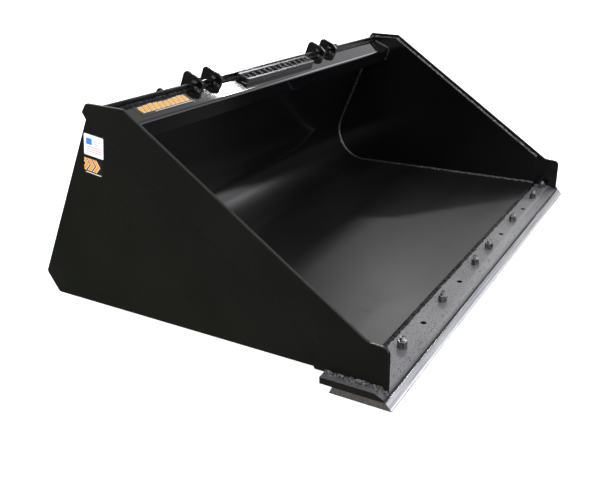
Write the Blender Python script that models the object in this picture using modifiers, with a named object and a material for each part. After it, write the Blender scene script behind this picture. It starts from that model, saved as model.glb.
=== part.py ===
"""Skid steer bucket: a welded long-floor dirt bucket with a bolt-on cutting edge.

Every piece is modelled in the bucket's own frame: X across, Y rearwards from the front of
the side cutters, Z up from the top of the base edge. One empty then carries all of them,
leaned back a little, so that the bucket rests on its cutting edge and its two heels.
"""

import math

import bmesh
import bpy
from mathutils import Matrix, Vector

INCH = 0.0254
GAP = 0.0003  # left between two pieces that touch

# Widths, over the outer faces
CUTTING_WIDTH = 72 * INCH
BODY_WIDTH = 70 * INCH

# Plate thicknesses
SHEET = 0.0064
CUTTER = 0.0095
RIB = 0.0095
EDGE = 0.019

# Bucket floor and back, one bent sheet, measured on its inner face
FLOOR_FRONT = 0.0950
BACK_FOOT = 1.1219  # where the straight floor and the straight back would cross
BACK_LEAN = math.radians(23.57)
BACK_LENGTH = 0.6365
BEND_RADIUS = 0.137
BEND_FACETS = 12
FLOOR_TOP = GAP + SHEET

# Top lip tube, in front of the back
LIP_TOP = 0.6202
LIP_DEPTH = 0.0885
LIP_HEIGHT = 0.067
LIP_WALL = 0.0064
LIP_CORNER = 0.011

# Side sheets and the cutters welded outside them
SLOPE_FOOT = Vector((0.057, 0.116))
SLOPE_TOP = Vector((0.757, 0.601))
CUTTER_REAR_TOP = Vector((0.886, 0.605))
CUTTER_REAR_NOTCH = Vector((0.9035, 0.581))
FRONT_POST = 0.112
CUTTER_WIDTH = 0.109
CUTTER_FOOT = 0.2035
SHEET_SETBACK = 0.0165
SHEET_FRONT = 0.0912
SHEET_TOP_REAR = Vector((0.887, 0.5885))
SHEET_TOP_FRONT = 0.7669
SHEET_CORNER = 0.004
NOTCH_FOOT = 0.891
NOTCH_CORNER = 0.004
CUTTER_LIFT = 0.0008  # clear of the base edge's bevel at its front tip
FOOT_CORNER = 0.006
FOOT_HOLLOW = 0.020
REAR_CORNER = 0.008
SLOPE_TOP_ROUND = 0.010
SLOPE_FOOT_ROUND = 0.030
HEEL = Vector((1.110, 0.0))
HEEL_TOP = Vector((1.1515, 0.062))
HEEL_ROUND = 0.012
STEP_ROUND = 0.019

# Base edge, and the bolt-on edge under it
BASE_NOSE = -0.002
BASE_REAR = 0.173
BASE_BEVEL_TOP = 0.0245
BASE_BEVEL_FOOT = Vector((-0.001, -0.013))
BOLT_ON_TOP = (-0.0055, 0.1375)
BOLT_ON_BOTTOM = (-0.0225, 0.147)

# Bolt row: twelve holes at an even pitch, eight of them filled
BOLT_ROW = 0.050
HOLE_PITCH = 6 * INCH
HOLE_COUNT = 12
EMPTY_HOLES = (2, 4, 7, 9)
HOLE_RADIUS = 0.00875
DRILL_REACH = 0.002  # past each face of the edges
SEAT_RIM = 0.0025
SHANK_RADIUS = 0.0079
HEAD_RADIUS = 0.0142
HEAD_DEPTH = 0.0095
HEAD_RIM = 0.002
HEAD_RECESS = 0.0002
STUD_TOP = 0.031
STUD_CHAMFER = 0.0015
NUT_FLATS = 0.0238
NUT_HEIGHT = 0.0205
NUT_BORE = 0.0082
NUT_CHAMFER = 0.0022
NUT_FACE_RADIUS = 0.0095
NUT_DOME_MARGIN = 0.001
NUT_TURN = math.radians(17)  # from one nut to the next
ROUND_SIDES = 20

# Step tread on the lip
TREAD_LENGTH = 0.445
TREAD_REAR = -0.006
TREAD_DEPTH = 0.046
TREAD_HEIGHT = 0.0175
TREAD_SHEET = 0.0025
TREAD_CELLS = 11
TREAD_CELL_SIZE = (0.026, 0.028)

# Loader mount: ribs, and two bent plates with a hook above and a slotted flange below
RIB_PLACES = {"inner": 0.344, "middle": 0.443, "outer": 0.5655}
RIB_DEPTH = 0.051
RIB_FOOT = 0.150
RIB_FOOT_TURN = math.radians(25)
EAR_TOP = 0.6565
EAR_TOE = 0.0285
EAR_CREST = 0.0057  # how far in front of the back the top edge starts
EAR_NOSE_DROP = 0.010
EAR_NOSE_ROUND = 0.007
EAR_CREST_ROUND = 0.010
EAR_ROUND = 0.014
OUTER_RIB_FRONT = 0.616
OUTER_RIB_TOP = 0.622
OUTER_RIB_SHOULDER = 0.592
OUTER_RIB_CREST = 0.0408
OUTER_RIB_ROUND = 0.008
PLATE_EDGES = (0.330, 0.578)
PLATE = 0.0095
PLATE_FOOT = 0.160
PLATE_HEAD = 0.541
PLATE_LEAD = 0.05  # straight run that gives a bend its heading
PLATE_BEND = 0.012
HOOK_TURN = math.radians(130)
HOOK_LENGTH = 0.034
FLANGE_TURN = math.radians(60)
FLANGE_LENGTH = 0.058
SLOT_PLACE = 0.527
SLOT_DEPTH = 0.0302  # from the bend to the slot's middle, along the flange
SLOT_CUT = 0.057
SLOT_SIZE = (0.076, 0.030)

# Labels: thin film on the lip and on the right side sheet
FILM = 0.0004
LIP_LABEL_ACROSS = (-0.747, -0.514)
LIP_LABEL_DEPTH = (-0.063, -0.012)
SIDE_LABEL_TILT = math.radians(8)
LABEL_CORNER = 0.003
SIDE_LABELS = {  # centre, and size along and across
    "side_label_upper": (Vector((0.884, 0.4876)), (0.070, 0.060)),
    "side_label_lower": (Vector((0.894, 0.4282)), (0.068, 0.047)),
}

ARC_STEPS = 6
SMALL_ARC_STEPS = 4
MERGE_DISTANCE = 1e-5
SMOOTH_ANGLE = math.radians(35)
SIDES = {"left": 1, "right": -1}
ACROSS = (math.pi / 2, 0, math.pi / 2)  # turns a flat outline into the Y-Z plane

BACK_UP = Vector((-math.sin(BACK_LEAN), math.cos(BACK_LEAN)))
BACK_OUT = Vector((math.cos(BACK_LEAN), math.sin(BACK_LEAN)))


def on_back(outwards, up):
    """A point of the Y-Z plane, from its place behind the back's inner face and up along it."""
    return Vector((BACK_FOOT, FLOOR_TOP)) + BACK_OUT * outwards + BACK_UP * up


def arc(centre, radius, start, turn, steps=ARC_STEPS):
    """Points along a circle's arc, both ends included."""
    angles = [start + turn * i / steps for i in range(steps + 1)]
    return [Vector(centre) + radius * Vector((math.cos(a), math.sin(a))) for a in angles]


def rounded(corners, steps=ARC_STEPS):
    """A closed outline from (point, radius) corners, each radius as an arc."""
    points = []
    for i, (corner, radius) in enumerate(corners):
        corner = Vector(corner)
        if not radius:
            points.append(corner)
            continue
        before = (Vector(corners[i - 1][0]) - corner).normalized()
        after = (Vector(corners[(i + 1) % len(corners)][0]) - corner).normalized()
        half = before.angle(after) / 2
        centre = corner + (before + after).normalized() * radius / math.sin(half)
        first = corner + before * radius / math.tan(half) - centre
        last = corner + after * radius / math.tan(half) - centre
        start = math.atan2(first.y, first.x)
        turn = (math.atan2(last.y, last.x) - start + math.pi) % math.tau - math.pi
        points += arc(centre, radius, start, turn, steps)
    return points


def bend(path, centre_side, radius, turn, steps=ARC_STEPS):
    """Adds to a path an arc that leaves along its last stretch; centre_side +1 turns left."""
    heading = (path[-1] - path[-2]).normalized()
    to_centre = Vector((-heading.y, heading.x)) * centre_side
    centre = path[-1] + to_centre * radius
    start = math.atan2(-to_centre.y, -to_centre.x)
    path += arc(centre, radius, start, centre_side * turn, steps)[1:]
    return path


def material(name, colour, roughness, metallic):
    made = bpy.data.materials.new(name)
    made.use_nodes = True
    made.diffuse_color = (*colour, 1)
    shader = made.node_tree.nodes["Principled BSDF"]
    shader.inputs["Base Color"].default_value = (*colour, 1)
    shader.inputs["Roughness"].default_value = roughness
    shader.inputs["Metallic"].default_value = metallic
    return made


def add(name, data, collection, look=None):
    """A new object; a cutter has no look, and stays out of the render."""
    made = bpy.data.objects.new(name, data)
    collection.objects.link(made)
    if look is None:
        made.hide_render = True
        made.display_type = "WIRE"
    else:
        data.materials.append(look)
    return made


def plate(name, outlines, thickness, x, collection, look=None):
    """A flat piece, or a section run across the bucket, from outlines in the Y-Z plane."""
    curve = bpy.data.curves.new(name, "CURVE")
    curve.dimensions = "2D"
    curve.fill_mode = "BOTH"
    curve.extrude = thickness / 2
    for outline in outlines:
        spline = curve.splines.new("POLY")
        spline.points.add(len(outline) - 1)
        for point, place in zip(spline.points, outline):
            point.co = (place[0], place[1], 0, 1)
        spline.use_cyclic_u = True
    made = add(name, curve, collection, look)
    made.rotation_euler = ACROSS
    made.location.x = x
    return made


def as_mesh(piece, look=None):
    """The same piece as a mesh object with its caps welded, so that it can be cut."""
    bpy.context.view_layer.update()
    graph = bpy.context.evaluated_depsgraph_get()
    mesh = bpy.data.meshes.new_from_object(piece.evaluated_get(graph))
    mesh.transform(piece.matrix_world)
    shape = bmesh.new()
    shape.from_mesh(mesh)
    bmesh.ops.remove_doubles(shape, verts=shape.verts, dist=MERGE_DISTANCE)
    shape.to_mesh(mesh)
    shape.free()
    name = piece.name
    collection = piece.users_collection[0]
    bpy.data.objects.remove(piece)
    mesh.materials.clear()
    return add(name, mesh, collection, look)


def bent_sheet(name, path, width, thickness, x, collection, look):
    """A sheet run across the bucket: the path is its left face as one walks along it."""
    shape = bmesh.new()
    rows = []
    for side in (-width / 2, width / 2):
        rows.append([shape.verts.new((x + side, place.x, place.y)) for place in path])
    for i in range(len(path) - 1):
        shape.faces.new((rows[0][i], rows[1][i], rows[1][i + 1], rows[0][i + 1]))
    mesh = bpy.data.meshes.new(name)
    shape.to_mesh(mesh)
    shape.free()
    made = add(name, mesh, collection, look)
    walls = made.modifiers.new("Thickness", "SOLIDIFY")
    walls.thickness = thickness
    walls.offset = -1
    walls.use_even_offset = True
    return made


def turned(name, profile, collection, look=None):
    """A round piece about Z, from (radius, height) points that run down its outer side."""
    mesh = bpy.data.meshes.new(name)
    edges = [(i, i + 1) for i in range(len(profile) - 1)]
    mesh.from_pydata([(radius, 0, height) for radius, height in profile], edges, [])
    made = add(name, mesh, collection, look)
    screw = made.modifiers.new("Turn", "SCREW")
    screw.steps = ROUND_SIDES
    screw.render_steps = ROUND_SIDES
    screw.use_merge_vertices = True
    screw.merge_threshold = MERGE_DISTANCE
    return made


def cut(piece, cutter, operation="DIFFERENCE"):
    boolean = piece.modifiers.new(cutter.name, "BOOLEAN")
    boolean.operation = operation
    boolean.object = cutter
    boolean.solver = "EXACT"


def shade(piece):
    """Smooth shading on the curved faces, sharp edges elsewhere."""
    piece.data.shade_smooth()
    piece.data.set_sharp_from_angle(angle=SMOOTH_ANGLE)


def bucket_shell(parts, black):
    heading = math.pi / 2 + BACK_LEAN
    tangent = BEND_RADIUS * math.tan(heading / 2)
    path = [Vector((FLOOR_FRONT, FLOOR_TOP)), Vector((BACK_FOOT - tangent, FLOOR_TOP))]
    bend(path, 1, BEND_RADIUS, heading, BEND_FACETS)
    path.append(on_back(0, BACK_LENGTH))
    width = BODY_WIDTH - 2 * (CUTTER + SHEET + 2 * GAP)
    bent_sheet("bucket_shell", path, width, SHEET, 0, parts, black)


def slope_offset(distance, y):
    """Height, at y, of a line parallel to the side's slope and set in from it by distance."""
    run = SLOPE_TOP - SLOPE_FOOT
    rise = run.y / run.x
    return SLOPE_FOOT.y + (y - SLOPE_FOOT.x) * rise - distance * math.hypot(1, rise)


def side_sheets(parts, black):
    corners = [
        ((SHEET_FRONT, 0), 0),
        (HEEL, HEEL_ROUND),
        (HEEL_TOP, HEEL_ROUND),
        (SHEET_TOP_REAR, SHEET_CORNER),
        ((SHEET_TOP_FRONT, slope_offset(SHEET_SETBACK, SHEET_TOP_FRONT)), SHEET_CORNER),
        ((SHEET_FRONT, slope_offset(SHEET_SETBACK, SHEET_FRONT)), SHEET_CORNER),
    ]
    x = BODY_WIDTH / 2 - CUTTER - GAP - SHEET / 2
    for side, sign in SIDES.items():
        plate(f"side_sheet_{side}", [rounded(corners)], SHEET, sign * x, parts, black)


def side_cutters(parts, black):
    """The heavy strip along each side's sloped edge, with its foot down on the base edge."""
    corners = [
        ((0, BASE_BEVEL_FOOT.y + CUTTER_LIFT), 0),
        ((BASE_BEVEL_TOP, 0), 0),
        ((CUTTER_FOOT, 0), FOOT_CORNER),
        ((CUTTER_FOOT, slope_offset(CUTTER_WIDTH, CUTTER_FOOT)), FOOT_HOLLOW),
        ((NOTCH_FOOT, slope_offset(CUTTER_WIDTH, NOTCH_FOOT)), 0),
        (CUTTER_REAR_NOTCH, NOTCH_CORNER),
        (CUTTER_REAR_TOP, REAR_CORNER),
        (SLOPE_TOP, SLOPE_TOP_ROUND),
        (SLOPE_FOOT, SLOPE_FOOT_ROUND),
        ((0, FRONT_POST), STEP_ROUND),
    ]
    x = (BODY_WIDTH - CUTTER) / 2
    for side, sign in SIDES.items():
        plate(f"side_cutter_{side}", [rounded(corners)], CUTTER, sign * x, parts, black)


def top_lip_tube(parts, black):
    low = LIP_TOP - LIP_HEIGHT
    outer = [(-GAP, low), (-GAP, LIP_TOP), (-LIP_DEPTH, LIP_TOP), (-LIP_DEPTH, low)]
    inset = LIP_WALL
    inner = [
        (-GAP - inset, low + inset),
        (-GAP - inset, LIP_TOP - inset),
        (-LIP_DEPTH + inset, LIP_TOP - inset),
        (-LIP_DEPTH + inset, low + inset),
    ]
    outlines = [
        rounded([(on_back(*point), radius) for point in ring], SMALL_ARC_STEPS)
        for ring, radius in ((outer, LIP_CORNER), (inner, LIP_CORNER - LIP_WALL))
    ]
    length = BODY_WIDTH - 2 * (CUTTER + SHEET + 2 * GAP)
    plate("top_lip_tube", outlines, length, 0, parts, black)


def bolt_places():
    """X of every hole, in order, with whether it holds a bolt."""
    first = -HOLE_PITCH * (HOLE_COUNT - 1) / 2
    return [(first + HOLE_PITCH * i, i not in EMPTY_HOLES) for i in range(HOLE_COUNT)]


def edges(parts, cutters, black, bare_steel):
    """The base edge and the bolt-on edge, drilled together; gives the lowest height."""
    base_low = -GAP - EDGE
    bolt_on_high = base_low - GAP
    bolt_on_low = bolt_on_high - EDGE
    base = [
        (BASE_REAR, -GAP),
        (BASE_BEVEL_TOP, -GAP),
        BASE_BEVEL_FOOT,
        (BASE_NOSE, base_low),
        (BASE_REAR, base_low),
    ]
    bolt_on = [
        (BOLT_ON_TOP[1], bolt_on_high),
        (BOLT_ON_TOP[0], bolt_on_high),
        (BOLT_ON_BOTTOM[0], bolt_on_low),
        (BOLT_ON_BOTTOM[1], bolt_on_low),
    ]
    pieces = []
    for name, outline, look in (
        ("base_edge", base, black),
        ("bolt_on_edge", bolt_on, bare_steel),
    ):
        piece = plate(name, [outline], CUTTING_WIDTH, 0, parts, look)
        pieces.append(as_mesh(piece, look))
    drill = [
        (0, DRILL_REACH),
        (HOLE_RADIUS, DRILL_REACH),
        (HOLE_RADIUS, bolt_on_low + HEAD_DEPTH + GAP),
        (HEAD_RADIUS + GAP, bolt_on_low + SEAT_RIM),
        (HEAD_RADIUS + GAP, bolt_on_low - DRILL_REACH),
        (0, bolt_on_low - DRILL_REACH),
    ]
    for i, (x, _) in enumerate(bolt_places()):
        cutter = turned(f"drill_{i + 1}", drill, cutters)
        cutter.location = (x, BOLT_ROW, 0)
        for piece in pieces:
            cut(piece, cutter)
    return bolt_on_low


def nut_mesh(cutters, look):
    """One hex nut about Z, standing on Z = 0, with its corners chamfered and its bore open."""
    shape = bmesh.new()
    corner = NUT_FLATS / math.sqrt(3)
    bmesh.ops.create_cone(
        shape, cap_ends=True, segments=6, radius1=corner, radius2=corner, depth=NUT_HEIGHT
    )
    bmesh.ops.translate(shape, verts=shape.verts, vec=(0, 0, NUT_HEIGHT / 2))
    mesh = bpy.data.meshes.new("hex_nut")
    shape.to_mesh(mesh)
    shape.free()
    nut = add("nut_pattern", mesh, cutters)
    rim = corner + NUT_DOME_MARGIN
    crown = NUT_HEIGHT + NUT_CHAMFER / 2
    dome = turned(
        "nut_dome",
        [
            (0, crown),
            (NUT_FACE_RADIUS, crown),
            (rim, NUT_HEIGHT - NUT_CHAMFER),
            (rim, -NUT_CHAMFER),
            (0, -NUT_CHAMFER),
        ],
        cutters,
    )
    bore = turned(
        "nut_bore",
        [(0, NUT_HEIGHT * 2), (NUT_BORE, NUT_HEIGHT * 2), (NUT_BORE, -NUT_HEIGHT), (0, -NUT_HEIGHT)],
        cutters,
    )
    cut(nut, dome, "INTERSECT")
    cut(nut, bore)
    made = as_mesh(nut, look)
    mesh = made.data
    bpy.data.objects.remove(made)
    return mesh


def fasteners(parts, cutters, dark_steel, edge_low):
    """Plow bolts up through both edges, each with its nut on top of the base edge."""
    nuts = nut_mesh(cutters, dark_steel)
    bolt_profile = [
        (0, STUD_TOP),
        (SHANK_RADIUS - STUD_CHAMFER, STUD_TOP),
        (SHANK_RADIUS, STUD_TOP - STUD_CHAMFER),
        (SHANK_RADIUS, edge_low + HEAD_DEPTH),
        (HEAD_RADIUS, edge_low + HEAD_RIM),
        (HEAD_RADIUS, edge_low + HEAD_RECESS),
        (0, edge_low + HEAD_RECESS),
    ]
    bolts = turned("bolt_pattern", bolt_profile, parts, dark_steel)
    for modifier in bolts.modifiers:
        modifier.use_smooth_shade = True
    bolts = as_mesh(bolts, dark_steel)
    filled = [x for x, holds_bolt in bolt_places() if holds_bolt]
    for i, x in enumerate(filled):
        bolt = bpy.data.objects.new(f"plow_bolt_{i + 1}", bolts.data)
        nut = bpy.data.objects.new(f"hex_nut_{i + 1}", nuts)
        bolt.location = (x, BOLT_ROW, 0)
        nut.location = (x, BOLT_ROW, 0)
        nut.rotation_euler.z = NUT_TURN * i
        for piece in (bolt, nut):
            parts.objects.link(piece)
    bpy.data.objects.remove(bolts)


def step_tread(parts, cutters, black):
    """A channel of open grating on the lip, between the two pairs of ears."""
    foot = LIP_TOP + GAP
    top = LIP_TOP + TREAD_HEIGHT
    front = TREAD_REAR - TREAD_DEPTH
    corners = [(front, foot), (front, top), (TREAD_REAR, top), (TREAD_REAR, foot)]
    path = [on_back(*corner) for corner in corners]
    tread = bent_sheet("step_tread", path, TREAD_LENGTH, TREAD_SHEET, 0, parts, black)
    middle = on_back((front + TREAD_REAR) / 2, top)
    pitch = TREAD_LENGTH / TREAD_CELLS
    for i in range(TREAD_CELLS):
        shape = bmesh.new()
        bmesh.ops.create_cube(shape, size=1)
        size = Matrix.Diagonal((*TREAD_CELL_SIZE, TREAD_HEIGHT, 1))
        bmesh.ops.transform(shape, verts=shape.verts, matrix=size)
        mesh = bpy.data.meshes.new(f"grating_cell_{i + 1}")
        shape.to_mesh(mesh)
        shape.free()
        cell = add(mesh.name, mesh, cutters)
        cell.location = ((i - (TREAD_CELLS - 1) / 2) * pitch, middle.x, middle.y)
        cell.rotation_euler.x = BACK_LEAN
        cut(tread, cell)


def rib_foot():
    """The front edge of a rib, round the outside of the bend and up onto the straight back."""
    heading = math.pi / 2 + BACK_LEAN
    start = BEND_RADIUS * math.tan(heading / 2)
    radius = BEND_RADIUS + SHEET + GAP
    around = arc((-BEND_RADIUS, start), radius, -RIB_FOOT_TURN, RIB_FOOT_TURN)
    return [(point.x, point.y) for point in around]


def mount_ribs(parts, black):
    """Three ribs a side: the inner two rise over the back as ears, and toe down on the lip."""
    behind = SHEET + GAP
    toe = LIP_TOP + GAP
    over = BACK_LENGTH + GAP
    ear = [
        ((behind, over), 0),
        ((-GAP, over), 0),
        ((-GAP, toe), 0),
        ((-EAR_TOE, toe), 0),
        ((-EAR_TOE, EAR_TOP - EAR_NOSE_DROP), EAR_NOSE_ROUND),
        ((-EAR_CREST, EAR_TOP), EAR_CREST_ROUND),
        ((RIB_DEPTH, EAR_TOP), EAR_ROUND),
        ((RIB_DEPTH, RIB_FOOT), 0),
    ]
    plain = [
        ((behind, OUTER_RIB_FRONT), 0),
        ((OUTER_RIB_CREST, OUTER_RIB_TOP), OUTER_RIB_ROUND),
        ((RIB_DEPTH, OUTER_RIB_SHOULDER), OUTER_RIB_ROUND),
        ((RIB_DEPTH, RIB_FOOT), 0),
    ]
    foot = [(point, 0) for point in rib_foot()]
    for place, x in RIB_PLACES.items():
        top = plain if place == "outer" else ear
        corners = [(on_back(*point), radius) for point, radius in top + foot]
        for side, sign in SIDES.items():
            name = f"mount_rib_{place}_{side}"
            plate(name, [rounded(corners)], RIB, sign * x, parts, black)


def mount_plates(parts, cutters, black):
    """Bent plates on the ribs: a hook over the top, and a slotted flange at the foot."""
    face = RIB_DEPTH + GAP + PLATE
    path = [on_back(face, PLATE_HEAD - PLATE_LEAD), on_back(face, PLATE_HEAD)]
    bend(path, -1, PLATE_BEND, HOOK_TURN)
    heading = (path[-1] - path[-2]).normalized()
    hook = path[2:] + [path[-1] + heading * HOOK_LENGTH]
    path = [on_back(face, PLATE_FOOT + PLATE_LEAD), on_back(face, PLATE_FOOT)]
    bend(path, 1, PLATE_BEND, FLANGE_TURN)
    heading = (path[-1] - path[-2]).normalized()
    flange = path[2:] + [path[-1] + heading * FLANGE_LENGTH]
    middle = flange[-2] + heading * SLOT_DEPTH
    lie = math.atan2(heading.y, heading.x)
    whole = hook[::-1] + [on_back(face, PLATE_HEAD), on_back(face, PLATE_FOOT)] + flange
    width = PLATE_EDGES[1] - PLATE_EDGES[0]
    for side, sign in SIDES.items():
        x = sign * sum(PLATE_EDGES) / 2
        name = f"mount_plate_{side}"
        made = bent_sheet(name, whole, width, PLATE, x, parts, black)
        slot = bmesh.new()
        bmesh.ops.create_cube(slot, size=1)
        size = Matrix.Diagonal((*SLOT_SIZE, SLOT_CUT, 1))
        bmesh.ops.transform(slot, verts=slot.verts, matrix=size)
        mesh = bpy.data.meshes.new(f"slot_{side}")
        slot.to_mesh(mesh)
        slot.free()
        cutter = add(mesh.name, mesh, cutters)
        cutter.location = (sign * SLOT_PLACE, middle.x, middle.y)
        cutter.rotation_euler.x = lie
        cut(made, cutter)


def labels(parts, film):
    x = -(BODY_WIDTH / 2 - CUTTER + FILM / 2)
    lean = Matrix.Rotation(SIDE_LABEL_TILT, 2)
    for name, (centre, (along, across)) in SIDE_LABELS.items():
        corners = []
        for right, up in ((-1, -1), (1, -1), (1, 1), (-1, 1)):
            place = centre + lean @ Vector((right * along / 2, up * across / 2))
            corners.append((place, LABEL_CORNER))
        plate(name, [rounded(corners, SMALL_ARC_STEPS)], FILM, x, parts, film)
    low = LIP_TOP + GAP
    front, rear = LIP_LABEL_DEPTH
    strip = [(front, low), (rear, low), (rear, low + FILM), (front, low + FILM)]
    width = LIP_LABEL_ACROSS[1] - LIP_LABEL_ACROSS[0]
    middle = sum(LIP_LABEL_ACROSS) / 2
    outline = [on_back(*corner) for corner in strip]
    plate("lip_label", [outline], width, middle, parts, film)


def extents(pieces):
    """The lowest and highest corner of a box round the pieces, in world axes."""
    bpy.context.view_layer.update()
    graph = bpy.context.evaluated_depsgraph_get()
    corners = []
    for piece in pieces:
        solid = piece.evaluated_get(graph)
        mesh = solid.to_mesh()
        corners += [solid.matrix_world @ vertex.co for vertex in mesh.vertices]
        solid.to_mesh_clear()
    lowest = Vector([min(corner[i] for corner in corners) for i in range(3)])
    highest = Vector([max(corner[i] for corner in corners) for i in range(3)])
    return lowest, highest


def rest_on_ground(parts, cutters, edge_low):
    """Leans the bucket back onto its heels, with the origin under the middle of its box."""
    stance = bpy.data.objects.new("resting_stance", None)
    parts.objects.link(stance)
    drop = HEEL.y - edge_low
    stance.rotation_euler.x = -math.atan2(drop, HEEL.x - BOLT_ON_BOTTOM[1])
    pieces = [piece for piece in parts.objects if piece.type != "EMPTY"]
    for piece in pieces + list(cutters.objects):
        piece.parent = stance
    lowest, highest = extents(pieces)
    middle = (lowest + highest) / 2
    stance.location = (-middle.x, -middle.y, -lowest.z)


def main():
    for old in list(bpy.data.objects):
        bpy.data.objects.remove(old)
    parts = bpy.data.collections.new("skid_steer_bucket")
    cutters = bpy.data.collections.new("cutters")
    for collection in (parts, cutters):
        bpy.context.scene.collection.children.link(collection)
    black = material("gloss_black_paint", (0.012, 0.012, 0.013), 0.22, 0.0)
    bare_steel = material("bare_steel", (0.50, 0.49, 0.47), 0.35, 1.0)
    dark_steel = material("dark_hardware", (0.10, 0.10, 0.11), 0.35, 0.8)
    film = material("label_film", (0.85, 0.85, 0.82), 0.4, 0.0)

    bucket_shell(parts, black)
    side_sheets(parts, black)
    side_cutters(parts, black)
    top_lip_tube(parts, black)
    edge_low = edges(parts, cutters, black, bare_steel)
    fasteners(parts, cutters, dark_steel, edge_low)
    step_tread(parts, cutters, black)
    mount_ribs(parts, black)
    mount_plates(parts, cutters, black)
    labels(parts, film)
    for piece in parts.objects:
        if piece.type == "MESH":
            shade(piece)
    rest_on_ground(parts, cutters, edge_low)
    bpy.context.view_layer.update()


main()
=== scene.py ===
"""Looks for the skid steer bucket: glossy black paint, weld beads, worn bare steel, labels.

Everything is placed in the bucket's own frame (X across, Y rearwards from the front of the
side cutters, Z up from the base edge's top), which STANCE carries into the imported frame.
Lengths are in metres, and colours are linear.
"""

import math

import bmesh
import bpy
from mathutils import Matrix, Vector, noise


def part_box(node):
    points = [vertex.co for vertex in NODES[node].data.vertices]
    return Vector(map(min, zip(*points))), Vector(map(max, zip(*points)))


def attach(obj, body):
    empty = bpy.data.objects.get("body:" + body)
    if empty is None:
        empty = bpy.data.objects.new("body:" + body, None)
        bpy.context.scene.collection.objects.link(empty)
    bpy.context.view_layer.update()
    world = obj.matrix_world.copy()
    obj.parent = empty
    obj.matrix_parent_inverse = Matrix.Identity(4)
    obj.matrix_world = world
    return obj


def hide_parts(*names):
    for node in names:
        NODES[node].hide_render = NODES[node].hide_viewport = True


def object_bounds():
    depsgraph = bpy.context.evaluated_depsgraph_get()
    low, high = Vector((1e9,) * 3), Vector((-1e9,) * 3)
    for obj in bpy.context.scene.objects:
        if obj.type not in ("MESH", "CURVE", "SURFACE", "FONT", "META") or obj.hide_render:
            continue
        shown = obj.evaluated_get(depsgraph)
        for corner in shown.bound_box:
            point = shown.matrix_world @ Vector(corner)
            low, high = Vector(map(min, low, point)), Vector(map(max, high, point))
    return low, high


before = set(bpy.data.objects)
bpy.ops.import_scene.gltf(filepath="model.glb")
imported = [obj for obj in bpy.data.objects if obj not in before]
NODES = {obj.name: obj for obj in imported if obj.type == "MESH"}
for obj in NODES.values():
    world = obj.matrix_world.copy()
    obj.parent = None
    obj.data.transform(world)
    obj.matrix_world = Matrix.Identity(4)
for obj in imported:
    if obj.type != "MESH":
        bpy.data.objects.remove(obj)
CAD_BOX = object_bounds()

# Camera, in the bucket's own frame
IMAGE_WIDTH = 614
FOCAL_PIXELS = 730.13
SENSOR = 36.0
CAMERA_PLACE = Vector((-2.2552, -0.5776, 0.9874))
CAMERA_AZIMUTH = math.radians(-59.83)
CAMERA_ELEVATION = math.radians(22.11)
CAMERA_ROLL = math.radians(-0.82)

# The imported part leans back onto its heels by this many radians
STANCE_LEAN = -0.040062

# The bucket's dimensions, as in the CAD
GAP = 0.0003
SHEET = 0.0064
CUTTER = 0.0095
EDGE = 0.019
RIB = 0.0095
CUTTING_HALF = 0.9144
BODY_HALF = 0.889
SHEET_IN = BODY_HALF - CUTTER - GAP - SHEET  # a side sheet's inner face
SHELL_HALF = SHEET_IN - GAP
FLOOR_FRONT = 0.0950
FLOOR_TOP = 0.0067
BACK_FOOT = 1.1219
BACK_LEAN = math.radians(23.57)
BACK_LENGTH = 0.6365
BEND_RADIUS = 0.137
LIP_TOP = 0.6202
LIP_DEPTH = 0.0885
LIP_HEIGHT = 0.067
LIP_CHAMFER = 0.011
SLOPE_FOOT = Vector((0.057, 0.116))
SLOPE_TOP = Vector((0.757, 0.601))
CUTTER_FOOT = 0.2035
CUTTER_WIDTH = 0.109
CUTTER_REAR = 0.891
SHEET_SETBACK = 0.0165
SHEET_FRONT = 0.0912
SHEET_TOP_REAR = Vector((0.887, 0.5885))
BASE_REAR = 0.173
BASE_BEVEL_TOP = 0.0245
BASE_BEVEL_FOOT = Vector((-0.001, -0.013))
BOLT_ROW = 0.050
HOLE_PITCH = 0.1524
HOLE_COUNT = 12
EMPTY_HOLES = (2, 4, 7, 9)
EDGE_LOW = -2 * (GAP + EDGE)
RIB_PLACES = {"inner": 0.344, "middle": 0.443, "outer": 0.5655}
RIB_DEPTH = 0.051
RIB_FOOT = 0.150
EAR_TOE = 0.0285
PLATE_FOOT = 0.160
PLATE_HEAD = 0.541
TREAD_LENGTH = 0.445
TREAD_REAR = -0.006
TREAD_DEPTH = 0.046
TREAD_HEIGHT = 0.0175

X = Vector((1, 0, 0))
Y = Vector((0, 1, 0))
Z = Vector((0, 0, 1))
BACK_UP = Vector((0, -math.sin(BACK_LEAN), math.cos(BACK_LEAN)))
BACK_OUT = Vector((0, math.cos(BACK_LEAN), math.sin(BACK_LEAN)))
SIDES = {"left": 1, "right": -1}

# The bend between floor and back, seen from the side
BEND_TURN = math.pi / 2 + BACK_LEAN
BEND_START = BACK_FOOT - BEND_RADIUS * math.tan(BEND_TURN / 2)
BEND_CENTRE = Vector((0, BEND_START, FLOOR_TOP + BEND_RADIUS))
BEND_STEPS = 24

# Modifiers on the CAD nodes and on the grating
WELD_DISTANCE = 2e-5
FLAT_ANGLE = math.radians(0.6)
BEVEL_ANGLE = math.radians(32)
SHARP_ANGLE = math.radians(30)
FLAT_WEIGHT = 100

# Weld beads
BEAD_STEP = 0.0022  # between sections
BEAD_PITCH = 0.0062  # between ripples
BEAD_ROUGH = 0.18  # how far the toe wavers
BEAD_ARC = 5  # segments over the face
BEAD_SHARP = math.radians(70)
RIPPLE = 0.13  # how much a ripple adds to its size
WAIST = 0.72  # the middle of its face, as a share of a round one
SWELL = 0.28  # how much fuller it is towards its toes
GRAIN = (95, 0.7, 3.1)  # waver along the bead, around it, and per letter of its name
FINE_GRAIN = 3.3  # a second, finer waver, and its share
FINE_SHARE = 0.55

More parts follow.
